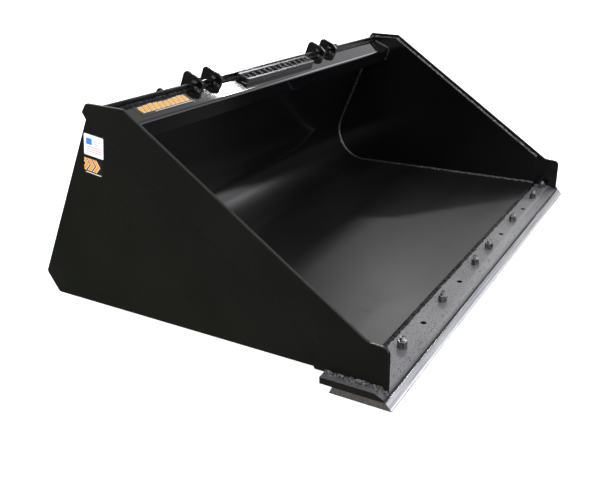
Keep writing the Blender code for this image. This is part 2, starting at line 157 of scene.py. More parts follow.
# Plow bolts; the heights in the profile are above the bolt-on edge's underside
BOLT_SHANK = 0.0078
BOLT_ROOT = 0.0068
BOLT_HEAD = 0.0139
BOLT_PROFILE = (
    (BOLT_HEAD, 0.0004),
    (BOLT_HEAD, 0.0021),
    (0.0079, 0.0093),
    (BOLT_SHANK, 0.0120),
)
BOLT_TOP = 0.0308
BOLT_SIDES = 28
BOLT_TWIST = 0.9  # between one bolt and the next
THREAD_PITCH = 0.0022
THREAD_TURNS = 9
THREAD_LEVELS = 4  # rings of vertices in a turn
THREAD_RUNOUT = 0.0024
THREAD_SHAPE = 0.8
THREAD_END = 0.0002
THREAD_SHARP = math.radians(40)

# Step grating
GRATE_SHEET = 0.0024
GRATE_LENGTH = TREAD_LENGTH - 0.001
GRATE_DEPTH = TREAD_DEPTH - 0.002
GRATE_HEIGHT = TREAD_HEIGHT - 0.0012
GRATE_CELLS = 13
GRATE_FLANGE = 0.007
GRATE_BEVEL = 0.0005
GRATE_BEVEL_SEGMENTS = 2
END_INSET = 0.003
END_CENTRE = 0.0045  # below the top
END_CLEARANCE = 0.004
END_HEIGHT = 0.007
STRUT_INSET = 0.006
STRUT_CENTRE = 0.0042  # below the top
STRUT_CLEARANCE = 0.009
STRUT_THICK = 0.0022
STRUT_HEIGHT = 0.0068
STRUT_TURNS = (-0.42, 0.42)
TEETH = 5
TEETH_SPREAD = 6.4  # tooth pitches in the grating's depth
TOOTH_CENTRE = 0.0002  # below the top
TOOTH_SIZE = (0.0030, 0.0046, 0.0026)
TOOTH_TAPER = (0.45, 0.40)
SAME_HEIGHT = 1e-6

# Stage
FLOOR_HALF = 400
FLOOR_CELLS = 8
FLOOR_DROP = 0.0005
FLOOR_GLOW = 0.95
LAMP_TARGET = Vector((0, 0, 0.3))
LAMPS = {
    # azimuth and elevation in degrees, distance, width, height, brightness
    "lamp_far": (22, 34.8, 9.0, 1.2, 0.19, 85.0),
    "lamp_front": (-12, 26, 3.6, 1.6, 0.9, 3.2),
    "lamp_top": (200, 75, 3.5, 2.5, 2.5, 1.2),
}


def stance():
    """The bucket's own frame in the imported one, found from the base edge's rear corners."""
    lowest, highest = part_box("base_edge")
    cos, sin = math.cos(STANCE_LEAN), math.sin(STANCE_LEAN)
    y = highest.y - (BASE_REAR * cos + GAP * sin)
    z = lowest.z - (BASE_REAR * sin - (GAP + EDGE) * cos)
    return Matrix.Translation((0, y, z)) @ Matrix.Rotation(STANCE_LEAN, 4, "X")


STANCE = stance()


def on_back(outwards, up, x=0.0):
    """A point from its place behind the back's inner face, up along it, and across."""
    return Vector((x, BACK_FOOT, FLOOR_TOP)) + BACK_OUT * outwards + BACK_UP * up


# ---------------------------------------------------------------- node helpers

# Sockets of a Mix node that blends colours
MIX_SHARE, MIX_FIRST, MIX_SECOND, MIX_RESULT = 0, 6, 7, 2

# Cosine between the softened and the true normal: where wear starts, and where it is full
EDGE_WEAR = (0.995, 0.86)
EDGE_SAMPLES = 4


class Nodes:
    """Short names for the shader nodes that the materials share."""

    def __init__(self, tree):
        self.tree = tree

    def add(self, kind, **settings):
        node = self.tree.nodes.new(kind)
        for key, value in settings.items():
            setattr(node, key, value)
        return node

    def feed(self, socket, value):
        if isinstance(value, bpy.types.NodeSocket):
            self.tree.links.new(value, socket)
        elif value is not None:
            socket.default_value = value

    def math(self, operation, a, b=None, c=None, clamp=False):
        node = self.add("ShaderNodeMath", operation=operation, use_clamp=clamp)
        for socket, value in zip(node.inputs, (a, b, c)):
            self.feed(socket, value)
        return node.outputs[0]

    def times(self, a, b):
        return self.math("MULTIPLY", a, b)

    def vector(self, operation, a, b=None):
        node = self.add("ShaderNodeVectorMath", operation=operation)
        self.feed(node.inputs[0], a)
        self.feed(node.inputs[1], b)
        return node.outputs["Value" if operation == "DOT_PRODUCT" else "Vector"]

    def place(self, scale=(1, 1, 1)):
        """Object coordinates, stretched."""
        where = self.add("ShaderNodeTexCoord").outputs["Object"]
        return self.vector("MULTIPLY", where, scale)

    def parts(self, vector):
        """A vector's X, Y and Z, by name."""
        split = self.add("ShaderNodeSeparateXYZ")
        self.feed(split.inputs[0], vector)
        return split.outputs

    def noise(self, scale, detail=3.0, rough=0.5, stretch=(1, 1, 1)):
        node = self.add("ShaderNodeTexNoise")
        self.feed(node.inputs["Vector"], self.place(stretch))
        node.inputs["Scale"].default_value = scale
        node.inputs["Detail"].default_value = detail
        node.inputs["Roughness"].default_value = rough
        return node.outputs[0]

    def span(self, value, low, high, to_low=0.0, to_high=1.0):
        node = self.add("ShaderNodeMapRange")
        for socket, number in zip(node.inputs, (value, low, high, to_low, to_high)):
            self.feed(socket, number)
        return node.outputs[0]

    def inside(self, coordinate, low, high):
        """1 where a coordinate lies between two values."""
        above = self.math("GREATER_THAN", coordinate, low)
        return self.times(above, self.math("LESS_THAN", coordinate, high))

    def blend(self, share, first, second):
        node = self.add("ShaderNodeMix", data_type="RGBA")
        self.feed(node.inputs[MIX_SHARE], share)
        self.feed(node.inputs[MIX_FIRST], first)
        self.feed(node.inputs[MIX_SECOND], second)
        return node.outputs[MIX_RESULT]

    def bump(self, height, strength, distance, under=None):
        node = self.add("ShaderNodeBump")
        node.inputs["Strength"].default_value = strength
        node.inputs["Distance"].default_value = distance
        self.feed(node.inputs["Height"], height)
        self.feed(node.inputs["Normal"], under)
        return node.outputs[0]

    def edges(self, radius):
        """1 on a worn edge, 0 on a flat face."""
        soft = self.add("ShaderNodeBevel", samples=EDGE_SAMPLES)
        soft.inputs["Radius"].default_value = radius
        flat = self.add("ShaderNodeNewGeometry").outputs["Normal"]
        along = self.vector("DOT_PRODUCT", soft.outputs[0], flat)
        return self.span(along, *EDGE_WEAR)


def material(name):
    made = bpy.data.materials.new(name)
    made.use_nodes = True
    tree = made.node_tree
    shader = tree.nodes["Principled BSDF"]
    return made, Nodes(tree), shader


def rgb(red, green, blue):
    return (red, green, blue, 1.0)


def grey(shade, blueness=1.0):
    """A grey whose blue is this much stronger than its red and green."""
    return rgb(shade, shade, shade * blueness)


# ---------------------------------------------------------------- materials

COAT_BLACK = (0.0020, 0.0021, 0.0022)
# Painted light: the near side's black is a lit copy of the coat, brighter and greener than the
# same paint elsewhere.
NEAR_SIDE_LIT_BLACK = (0.0034, 0.0037, 0.0029)
FLOOR_BLACK = (0.0018, 0.0019, 0.0020)
LIP_BLACK = (0.0022, 0.0023, 0.0026)
TREAD_BLACK = (0.016, 0.016, 0.017)
SPECK = rgb(0.05, 0.05, 0.048)
DUST_GAIN = 1.9
DUST_LIFT = 0.0015
RUB_BLUENESS = 1.04


def black_paint(
    name,
    base,
    rough,
    specular,
    peel=0.25,
    streaks=(1, 1, 1),
    edge_wear_and_highlight=0.35,
    edge_rub_and_highlight=0.06,
    waves=0.10,
    gloss_rise=None,
):
    """Powder coat: fine orange peel, dust in soft clouds, small specks, and lighter rubbed
    edges, which on the tread are also a painted highlight.

    gloss_rise is the heights between which the coat gets glossier, and by what factor.
    """
    made, n, shader = material(name)
    clouds = n.noise(scale=2.6, detail=4, rough=0.55, stretch=streaks)
    dusty = n.times(n.span(clouds, low=0.35, high=0.75), 0.6)
    dusted = rgb(*(shade * DUST_GAIN + DUST_LIFT for shade in base))
    colour = n.blend(dusty, rgb(*base), dusted)
    specks = n.span(n.noise(scale=900, detail=1), low=0.66, high=0.74)
    colour = n.blend(n.times(specks, 0.12), colour, SPECK)
    # Lighter edges: worn paint; at the tread's strong setting they are also a painted
    # highlight on its teeth.
    patches = n.span(n.noise(scale=70, detail=4), low=0.42, high=0.62)
    rubbed = n.times(n.edges(radius=0.0022), patches)
    colour = n.blend(n.times(rubbed, edge_wear_and_highlight), colour, grey(edge_rub_and_highlight, RUB_BLUENESS))
    n.feed(shader.inputs["Base Color"], colour)

    if gloss_rise:
        low, high, factor = gloss_rise
        rough = n.span(n.parts(n.place())["Z"], low, high, rough, rough * factor)
    marks = n.noise(scale=38, detail=5, rough=0.62, stretch=(1, 0.22, 0.22))
    scuffs = n.span(marks, low=0.60, high=0.80)
    cloudy = n.span(clouds, low=0.3, high=0.7, to_low=0.86, to_high=1.16)
    uneven = n.math("MULTIPLY_ADD", scuffs, 0.3, cloudy)
    n.feed(shader.inputs["Roughness"], n.math("MULTIPLY", uneven, rough, clamp=True))

    skin = n.bump(n.noise(scale=420, detail=2), strength=peel, distance=0.00025)
    swells = n.noise(scale=9, detail=2, rough=0.4)
    wavy = n.bump(swells, strength=waves, distance=0.0015, under=skin)
    n.feed(shader.inputs["Normal"], wavy)
    shader.inputs["Specular IOR Level"].default_value = specular
    return made


STEEL_DARK = rgb(0.30, 0.31, 0.33)
STEEL_PALE = rgb(0.80, 0.80, 0.82)
STEEL_SCRATCH = rgb(0.95, 0.95, 0.95)
STEEL_LINE = rgb(0.04, 0.04, 0.045)
STEEL_PAINTED_SHADOW = rgb(0.12, 0.12, 0.13)
RUST = rgb(0.085, 0.045, 0.025)
BURNT_DARK = rgb(0.035, 0.028, 0.024)
BURNT_PALE = rgb(0.090, 0.074, 0.064)
RUST_HEIGHTS = (0.012, 0.001)
PAINTED_SHADOW_HEIGHTS = (0.0145, 0.0175)
BURNT_ENDS = (CUTTING_HALF - 0.0012, CUTTING_HALF - 0.0004)


def bare_steel():
    """Rolled cutting steel: lengthwise brushing, scratches, rust along the tip, burnt ends,
    and a painted shadow along the top of the front face.
    """
    made, n, shader = material("bare_steel_edge")
    place = n.parts(n.place())
    brushing = n.noise(scale=60, detail=5, rough=0.65, stretch=(0.05, 4, 4))
    steel = n.blend(n.span(brushing, low=0.35, high=0.65), STEEL_DARK, STEEL_PALE)
    fine = n.noise(scale=220, detail=3, rough=0.6, stretch=(0.06, 3, 3))
    scratches = n.span(fine, low=0.62, high=0.7)
    steel = n.blend(n.times(scratches, 0.6), steel, STEEL_SCRATCH)
    long = n.noise(scale=150, detail=4, rough=0.6, stretch=(0.02, 2, 2))
    drawn = n.span(long, low=0.60, high=0.66)
    steel = n.blend(n.times(drawn, 0.8), steel, STEEL_LINE)

    spots = n.span(n.noise(scale=60, detail=5, rough=0.75), low=0.52, high=0.62)
    near_tip = n.math("MULTIPLY_ADD", n.span(place["Z"], *RUST_HEIGHTS), 0.75, 0.07)
    rust = n.math("MULTIPLY", spots, near_tip, clamp=True)
    steel = n.blend(rust, steel, RUST)
    # Painted shadow: a dark band along the top of the front face, under the base edge's bevel.
    ragged = n.math("MULTIPLY_ADD", brushing, 0.006, place["Z"])
    painted_shadow = n.span(ragged, *PAINTED_SHADOW_HEIGHTS)
    steel = n.blend(n.times(painted_shadow, 0.5), steel, STEEL_PAINTED_SHADOW)

    burnt = n.span(n.math("ABSOLUTE", place["X"]), *BURNT_ENDS)
    cuts = n.noise(scale=120, detail=2, stretch=(1, 9, 0.6))
    scale = n.blend(n.span(cuts, low=0.4, high=0.6), BURNT_DARK, BURNT_PALE)
    n.feed(shader.inputs["Base Color"], n.blend(burnt, steel, scale))

    dull = n.math("MAXIMUM", rust, burnt)
    n.feed(shader.inputs["Metallic"], n.math("SUBTRACT", 1.0, dull, clamp=True))
    blotches = n.noise(scale=14, detail=4, rough=0.6, stretch=(0.5, 1.5, 1.5))
    worn = n.span(blotches, low=0.35, high=0.65, to_low=0.16, to_high=0.34)
    n.feed(shader.inputs["Roughness"], n.math("MAXIMUM", worn, n.times(dull, 0.72)))
    grain = n.bump(brushing, strength=0.35, distance=0.0004)
    pits = n.bump(n.times(rust, -1.0), strength=0.5, distance=0.0006, under=grain)
    n.feed(shader.inputs["Normal"], pits)
    return made


# Greys of the painted sheen on the base edge's top face, which stand in for the sky's
# reflection on black paint
PAINTED_SHEEN_DARK = rgb(0.125, 0.127, 0.133)
PAINTED_SHEEN_PALE = rgb(0.210, 0.210, 0.215)
BASE_EDGE_GRIT = rgb(0.26, 0.26, 0.26)
BASE_EDGE_PIT = rgb(0.004, 0.004, 0.004)
BEVEL_PAINTED_SHEEN = rgb(0.016, 0.017, 0.022)
UPRIGHT_BLACK = rgb(0.004, 0.004, 0.004)
BASE_EDGE_RUB = rgb(0.22, 0.22, 0.23)


def painted_sheen_coat():
    """Thin satin black paint under a painted sheen: an even grey on the top face that stands
    in for the sky's reflection, with dark pits and pale grit.

    The painted sheen is on the top face only, and fainter on the bevel; the upright faces stay
    dark.
    """
    made, n, shader = material("powder_coat_painted_sheen")
    clouds = n.noise(scale=5, detail=4, rough=0.6)
    colour = n.blend(n.span(clouds, low=0.3, high=0.7), PAINTED_SHEEN_DARK, PAINTED_SHEEN_PALE)
    grit = n.span(n.noise(scale=520, detail=2), low=0.60, high=0.70)
    colour = n.blend(n.times(grit, 0.5), colour, BASE_EDGE_GRIT)
    pits = n.span(n.noise(scale=210, detail=3, rough=0.6), low=0.57, high=0.63)
    colour = n.blend(n.times(pits, 0.9), colour, BASE_EDGE_PIT)

    # Painted light: the top face keeps the grey painted sheen, the bevel gets a fainter one,
    # and the upright faces keep the dark paint.
    upward = n.parts(n.add("ShaderNodeNewGeometry").outputs["Normal"])["Z"]
    colour = n.blend(n.span(upward, low=0.90, high=0.97), BEVEL_PAINTED_SHEEN, colour)
    colour = n.blend(n.span(upward, low=0.2, high=0.5), UPRIGHT_BLACK, colour)
    patches = n.span(n.noise(scale=70, detail=4), low=0.35, high=0.6)
    rubbed = n.times(n.edges(radius=0.0020), patches)
    colour = n.blend(n.times(rubbed, 0.25), colour, BASE_EDGE_RUB)
    n.feed(shader.inputs["Base Color"], colour)

    satin = n.span(clouds, low=0.3, high=0.7, to_low=0.36, to_high=0.46)
    n.feed(shader.inputs["Roughness"], n.math("MAXIMUM", satin, n.times(pits, 0.7)))
    skin = n.bump(n.noise(scale=420, detail=2), strength=0.35, distance=0.0004)
    n.feed(shader.inputs["Normal"], skin)
    return made


OXIDE_BLUENESS = 1.03
WRENCH_SHINE = rgb(0.9, 0.9, 0.9)


def hardware(name, dark, pale):
    """Dark oxide bolts and nuts, lighter where a wrench has rubbed them."""
    made, n, shader = material(name)
    stain = n.span(n.noise(scale=90, detail=4), low=0.4, high=0.7)
    colour = n.blend(stain, grey(dark, OXIDE_BLUENESS), grey(pale))
    patches = n.span(n.noise(scale=240, detail=3), low=0.3, high=0.55)
    rubbed = n.times(n.edges(radius=0.0012), patches)
    n.feed(shader.inputs["Base Color"], n.blend(rubbed, colour, WRENCH_SHINE))
    shader.inputs["Metallic"].default_value = 0.95
    worn = n.span(n.noise(scale=150, detail=3), low=0.3, high=0.7, to_low=0.20, to_high=0.36)
    n.feed(shader.inputs["Roughness"], worn)
    skin = n.bump(n.noise(scale=700, detail=2), strength=0.3, distance=0.0002)
    n.feed(shader.inputs["Normal"], skin)
    return made


BEAD_BLUENESS = 1.03
BEAD_ROUGH_RANGE = 0.14


def bead_paint(name, dark, pale, rough, specular):
    """Paint over a weld: glossier on the ripples, with spatter."""
    made, n, shader = material(name)
    clouds = n.noise(scale=160, detail=3, rough=0.6)
    spatter = n.span(clouds, low=0.52, high=0.68)
    colour = n.blend(spatter, grey(dark), grey(pale, BEAD_BLUENESS))
    n.feed(shader.inputs["Base Color"], colour)
    worn = n.span(clouds, low=0.3, high=0.7, to_low=rough, to_high=rough + BEAD_ROUGH_RANGE)
    n.feed(shader.inputs["Roughness"], worn)
    skin = n.bump(n.noise(scale=520, detail=3), strength=0.35, distance=0.0005)
    n.feed(shader.inputs["Normal"], skin)
    shader.inputs["Specular IOR Level"].default_value = specular
    return made


# ---------------------------------------------------------------- stickers

STICKER_SCUFF = rgb(0.35, 0.35, 0.34)


def sticker(name, centre, along, across, ground, draw):
    """Printed vinyl: draw(n, a, b, paint) lays shapes over the ground, a and b in metres."""
    made, n, shader = material(name)
    offset = n.vector("SUBTRACT", n.place(), tuple(STANCE @ centre))
    turn = STANCE.to_3x3()
    a = n.vector("DOT_PRODUCT", offset, tuple(turn @ along))
    b = n.vector("DOT_PRODUCT", offset, tuple(turn @ across))
    colour = draw(n, a, b, rgb(*ground))
    marks = n.noise(scale=300, detail=3)
    scuffs = n.span(marks, low=0.62, high=0.75, to_high=0.25)
    n.feed(shader.inputs["Base Color"], n.blend(scuffs, colour, STICKER_SCUFF))
    worn = n.span(n.noise(scale=60, detail=3), low=0.3, high=0.7, to_low=0.05, to_high=0.09)
    n.feed(shader.inputs["Roughness"], worn)
    skin = n.bump(n.noise(scale=500, detail=1), strength=0.05, distance=0.0001)
    n.feed(shader.inputs["Normal"], skin)
    return made


PALE_INK = rgb(0.62, 0.60, 0.55)
SLASH_ORANGE = rgb(0.86, 0.38, 0.035)
SLASH_PITCH = 0.0215
SLASH_LEAN = -0.45
SLASH_BAR = (0.13, 0.86)  # a bar's sides, as shares of the pitch
SLASH_LOW = -0.0125
SLASH_HIGH = 0.0120  # of the shortest bar
SLASH_STEP = 0.0021
SLASH_STEPS = 3.0
SLASH_HALF_ROW = 0.104
SLASH_OUTLINE = 0.0016
SLASH_RULE_ACROSS = (-0.0205, -0.0178)
SLASH_RULE_ALONG = (-0.060, 0.106)


def draw_slashes(n, a, b, paint):
    """Leaning orange slashes of uneven height on black, with a pale outline and underline."""
    cell = n.math("DIVIDE", n.math("MULTIPLY_ADD", b, SLASH_LEAN, a), SLASH_PITCH)
    within = n.math("FRACT", cell)
    steps = n.math("PINGPONG", n.math("FLOOR", cell), SLASH_STEPS)
    height = n.math("MULTIPLY_ADD", steps, SLASH_STEP, SLASH_HIGH)
    row = n.inside(a, -SLASH_HALF_ROW, SLASH_HALF_ROW)
    left, right = SLASH_BAR
    for edge, ink in ((SLASH_OUTLINE, PALE_INK), (0.0, SLASH_ORANGE)):
        share = edge / SLASH_PITCH
        bar = n.inside(within, left - share, right + share)
        bar = n.times(bar, n.math("LESS_THAN", b, n.math("ADD", height, edge)))
        bar = n.times(bar, n.math("GREATER_THAN", b, SLASH_LOW - edge))
        paint = n.blend(n.times(bar, row), paint, ink)
    rule = n.times(n.inside(b, *SLASH_RULE_ACROSS), n.inside(a, *SLASH_RULE_ALONG))
    return n.blend(rule, paint, PALE_INK)


# The notice's shapes: from a to a, from b to b, and ink
NOTICE_BLUE = rgb(0.05, 0.22, 0.62)
NOTICE_GREY = rgb(0.50, 0.50, 0.52)
NOTICE_RED = rgb(0.72, 0.30, 0.30)
NOTICE = (
    (-0.027, -0.006, 0.001, 0.019, NOTICE_BLUE),
    (0.000, 0.027, 0.0115, 0.0143, NOTICE_GREY),
    (0.000, 0.021, 0.0040, 0.0068, NOTICE_GREY),
    (-0.026, 0.026, -0.0060, -0.0034, NOTICE_RED),
    (-0.026, 0.026, -0.0125, -0.0099, NOTICE_RED),
    (-0.026, 0.026, -0.0190, -0.0164, NOTICE_RED),
)


def draw_notice(n, a, b, paint):
    """A white panel with a blue block, two grey rules and three red ones."""
    for left, right, low, high, ink in NOTICE:
        shape = n.times(n.inside(a, left, right), n.inside(b, low, high))
        paint = n.blend(shape, paint, ink)
    return paint


CHEVRON_PALE = rgb(0.80, 0.76, 0.70)
CHEVRON_ORANGE = rgb(0.88, 0.30, 0.03)
CHEVRON_WHITE = rgb(0.75, 0.75, 0.72)
CHEVRON_FOLD = 0.003
CHEVRON_SLOPE = 0.75
CHEVRON_START = 0.031
CHEVRON_PITCH = 0.0195
CHEVRON_COUNT = 3.0
CHEVRON_ROW = (-0.0150, 0.0210)
CHEVRON_OUTLINE = (0.10, 0.86)  # shares of the pitch
CHEVRON_BAR = (0.20, 0.76)
CHEVRON_RULE_ACROSS = (-0.0210, -0.0185)
CHEVRON_RULE_ALONG = (-0.028, 0.028)


def draw_chevrons(n, a, b, paint):
    """Three orange chevrons over a thin white rule, on black."""
    fold = n.math("ABSOLUTE", n.math("SUBTRACT", b, CHEVRON_FOLD))
    pushed = n.math("MULTIPLY_ADD", fold, CHEVRON_SLOPE, a)
    cell = n.math("DIVIDE", n.math("ADD", pushed, CHEVRON_START), CHEVRON_PITCH)
    within = n.math("FRACT", cell)
    row = n.times(n.inside(b, *CHEVRON_ROW), n.inside(cell, 0.0, CHEVRON_COUNT))
    for sides, ink in ((CHEVRON_OUTLINE, CHEVRON_PALE), (CHEVRON_BAR, CHEVRON_ORANGE)):
        paint = n.blend(n.times(n.inside(within, *sides), row), paint, ink)
    rule = n.times(n.inside(b, *CHEVRON_RULE_ACROSS), n.inside(a, *CHEVRON_RULE_ALONG))
    return n.blend(rule, paint, CHEVRON_WHITE)


# ---------------------------------------------------------------- modifiers


def smoothing_group():
    """A modifier tree: smooth shading, with every edge sharper than SHARP_ANGLE kept sharp."""
    group = bpy.data.node_groups.new("smooth_by_angle", "GeometryNodeTree")
    group.interface.new_socket("Geometry", in_out="INPUT", socket_type="NodeSocketGeometry")
    group.interface.new_socket("Geometry", in_out="OUTPUT", socket_type="NodeSocketGeometry")
    n = Nodes(group)
    start = n.add("NodeGroupInput")
    end = n.add("NodeGroupOutput")
    plain = n.add("GeometryNodeRemoveAttribute")
    plain.inputs["Name"].default_value = "custom_normal"
    n.feed(plain.inputs["Geometry"], start.outputs[0])
    angle = n.add("GeometryNodeInputMeshEdgeAngle")
    sharp = n.add("FunctionNodeCompare", data_type="FLOAT", operation="GREATER_THAN")
    n.feed(sharp.inputs["A"], angle.outputs["Unsigned Angle"])
    sharp.inputs["B"].default_value = SHARP_ANGLE
    store = n.add("GeometryNodeStoreNamedAttribute", data_type="BOOLEAN", domain="EDGE")
    store.inputs["Name"].default_value = "sharp_edge"
    n.feed(store.inputs["Geometry"], plain.outputs[0])
    n.feed(store.inputs["Value"], sharp.outputs[0])
    smooth = n.add("GeometryNodeSetShadeSmooth")
    n.feed(smooth.inputs["Geometry"], store.outputs[0])
    n.feed(end.inputs[0], smooth.outputs[0])
    return group


SMOOTH = smoothing_group()


def round_edges(thing, width, segments, angle):
    bevel = thing.modifiers.new("Edges", "BEVEL")
    bevel.width = width
    bevel.segments = segments
    bevel.limit_method = "ANGLE"
    bevel.angle_limit = angle


def shade(thing):
    """Smooth shading in which a broad flat face stays flat where a curved one runs into it."""
    smooth = thing.modifiers.new("Smooth", "NODES")
    smooth.node_group = SMOOTH
    weighted = thing.modifiers.new("Flat shading", "WEIGHTED_NORMAL")
    weighted.mode = "FACE_AREA"
    weighted.weight = FLAT_WEIGHT
    weighted.keep_sharp = True


def finish_edges(node, width, segments):
    """Rounds a CAD node's edges a little, without changing its mesh. Width 0 keeps them."""
    weld = node.modifiers.new("Weld", "WELD")
    weld.merge_threshold = WELD_DISTANCE
    flat = node.modifiers.new("Flat faces", "DECIMATE")
    flat.decimate_type = "DISSOLVE"
    flat.angle_limit = FLAT_ANGLE
    if width:
        round_edges(node, width, segments, BEVEL_ANGLE)
    shade(node)


def repaint(node, look):
    node.data.materials.clear()
    node.data.materials.append(look)


# ---------------------------------------------------------------- new pieces


def piece(name, mesh, look):
    mesh.transform(STANCE)
    made = bpy.data.objects.new(name, mesh)
    bpy.context.scene.collection.objects.link(made)
    mesh.materials.append(look)
    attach(made, "root")
    return made


def lofted(name, rows, sharp):
    """A closed smooth mesh through rings of points, with edges above an angle left sharp."""
    shape = bmesh.new()
    rings = [[shape.verts.new(point) for point in row] for row in rows]
    count = len(rings[0])
    for first, second in zip(rings, rings[1:]):
        for k in range(count):
            m = (k + 1) % count
            shape.faces.new((first[k], first[m], second[m], second[k]))
    shape.faces.new(rings[0])
    shape.faces.new(rings[-1])
    bmesh.ops.recalc_face_normals(shape, faces=shape.faces)
    mesh = bpy.data.meshes.new(name)
    shape.to_mesh(mesh)
    shape.free()
    mesh.shade_smooth()
    mesh.set_sharp_from_angle(angle=sharp)
    return mesh


def joined(meshes, name):
    """Several meshes as one."""
    shape = bmesh.new()
    for mesh in meshes:
        shape.from_mesh(mesh)
        bpy.data.meshes.remove(mesh)
    whole = bpy.data.meshes.new(name)
    shape.to_mesh(whole)
    shape.free()
    return whole


# ---------------------------------------------------------------- weld beads

# Each kind of bead: its legs along the two faces, and where it differs from the usual bead
WELDS = {
    "floor_front": {"legs": (0.0085, SHEET + 0.0002), "step": 0.0018, "rough": 0.55},
    "base_edge_rear": {"legs": (0.010, 0.010), "step": 0.003},
    "cutter_foot": {"legs": (0.0084, 0.0078), "step": 0.0012, "pitch": 0.0048, "rough": 0.5},
    "inner_seam": {"legs": (0.0062, 0.0062), "rough": 0.25},
    "outer_seam": {"legs": (0.0065, 0.0065), "step": 0.003},
    "cutter_inner": {"legs": (0.0052, 0.0060), "rough": 0.3},
    "cutter_outer": {"legs": (0.0072, 0.0062), "step": 0.0025},
    "lip_end": {"legs": (0.0040, 0.0040)},
    "lip_rear": {"legs": (0.0062, 0.0060), "step": 0.0014, "pitch": 0.0052, "rough": 0.4},
    "lip_under": {"legs": (0.0125, 0.0105), "rough": 0.25},
    "rib": {"legs": (0.0062, 0.0062), "step": 0.003},
    "rib_plate": {"legs": (0.0058, 0.0058), "step": 0.003},
    "ear_toe": {"legs": (0.0055, 0.0075), "step": 0.0014, "rough": 0.7},
    "ear_over": {"legs": (0.0055, 0.0060), "step": 0.0014, "rough": 0.7},
}

# Where beads start and end, a little short of the corners that they run between
SEAM_HALF = SHELL_HALF - 0.004
BURIED = 0.0002  # the rear bead's root, inside the steel
OUTER_SEAM_START = 0.012
LIP_INSET = 0.003
LIP_END_START = -0.010
LIP_END_TURN = -0.002  # the bead turns down where it is this far below the lip's top
FOOT_BEAD_INSET = 0.002
FOOT_BEAD_TIP = Vector((0, BASE_BEVEL_FOOT.x + 0.0005, BASE_BEVEL_FOOT.y + 0.0006))
OUTER_BEAD_INSET = 0.012
TOP_BEAD_INSET = 0.004
TOP_CORNER = SLOPE_TOP.x + TOP_BEAD_INSET
RIB_BEAD_HEIGHTS = (RIB_FOOT + 0.065, PLATE_HEAD + 0.035)
PLATE_BEAD_HEIGHTS = (PLATE_FOOT + 0.004, PLATE_HEAD - 0.004)
EAR_TOE_BEAD = (-EAR_TOE, -0.001)
EAR_TOP_BEAD = (-0.006, SHEET + 0.004)

SLOPE = (SLOPE_TOP - SLOPE_FOOT).normalized()
SLOPE_UP = Vector((0, -SLOPE.y, SLOPE.x))
SLOPE_RISE = SLOPE.y / SLOPE.x
BEVEL = Vector((0, BASE_BEVEL_FOOT.x, BASE_BEVEL_FOOT.y)) - Y * BASE_BEVEL_TOP
BEVEL_UP = BEVEL.cross(X).normalized()


def resampled(path, step):
    """Points about a step apart along a path, each with its distance from the start."""
    points = [(0.0, path[0])]
    gone = 0.0
    for first, second in zip(path, path[1:]):
        run = (second - first).length
        count = max(1, round(run / step))
        for i in range(1, count + 1):
            points.append((gone + run * i / count, first.lerp(second, i / count)))
        gone += run
    return points


def bead_section(gone, legs, pitch, rough, key):
    """A bead's section, this far along it: each point's distances along the two faces."""
    ripple = 1.0 + RIPPLE * abs(math.sin(math.pi * gone / pitch)) - RIPPLE / 2
    section = [(0.0, 0.0)]
    for k in range(BEAD_ARC + 1):
        turn = k / BEAD_ARC * math.pi / 2
        swell = WAIST + SWELL * abs(math.cos(2 * turn))
        seed = Vector((gone * GRAIN[0], (k + 1) * GRAIN[1], key * GRAIN[2]))
        waver = 1 + rough * noise.noise(seed)
        waver += FINE_SHARE * rough * noise.noise(seed * FINE_GRAIN)
        a = legs[0] * math.cos(turn) * swell * ripple * waver
        b = legs[1] * math.sin(turn) * swell * ripple * waver
        section.append((a, b))
    section[-1] = (0.0, b)
    return section


def bead(name, path, across, up, legs, step=BEAD_STEP, pitch=BEAD_PITCH, rough=BEAD_ROUGH):
    """A fillet weld along a path in a corner: across and up point away along its two faces.

    up may be a function of a point of the path. The bead is a stack of ripples, with a
    wavering toe.
    """
    rows = []
    for gone, point in resampled(path, step):
        rise = up(point) if callable(up) else up
        section = bead_section(gone, legs, pitch, rough, len(name))
        rows.append([point + across * a + rise * b for a, b in section])
    return lofted(name, rows, BEAD_SHARP)


def weld(kind, path, across, up, look, side=None):
    """A bead of one kind, as a piece of its own."""
    name = f"weld_{kind}_{side}" if side else f"weld_{kind}"
    piece(name, bead(name, path, across, up, **WELDS[kind]), look)


def shell_section(offset):
    """The shell's side view, in from its inner face by offset, floor front to back top."""
    radius = BEND_RADIUS - offset
    points = [Vector((0, FLOOR_FRONT, FLOOR_TOP + offset))]
    for i in range(BEND_STEPS + 1):
        turn = BEND_TURN * i / BEND_STEPS
        points.append(BEND_CENTRE + radius * Vector((0, math.sin(turn), -math.cos(turn))))
    points.append(on_back(-offset, BACK_LENGTH))
    return points


def shell_normal(point):
    """Into the bucket, off the shell's inner face at a point near it."""
    if point.y < BEND_START:
        return Z
    to_centre = Vector((0, BEND_CENTRE.y - point.y, BEND_CENTRE.z - point.z))
    turn = math.atan2(-to_centre.y, to_centre.z)
    if 0 <= turn <= BEND_TURN:
        return to_centre.normalized()
    return -BACK_OUT


def slope_line(distance, y):
    """The point at y on a line parallel to the front slope, this far below it."""
    run = (y - SLOPE_FOOT.x) * SLOPE_RISE
    return Vector((0, y, SLOPE_FOOT.y + run - distance * math.hypot(1, SLOPE_RISE)))


def base_beads(paint, dark):
    """In front of the floor, and under it behind the base edge."""
    front = FLOOR_FRONT - GAP
    path = [Vector((x, front, -GAP)) for x in (-SEAM_HALF, SEAM_HALF)]
    weld("floor_front", path, -Y, Z, dark)
    rear = BASE_REAR + GAP
    path = [Vector((x, rear, BURIED)) for x in (-SEAM_HALF, SEAM_HALF)]
    weld("base_edge_rear", path, Y, -Z, paint)


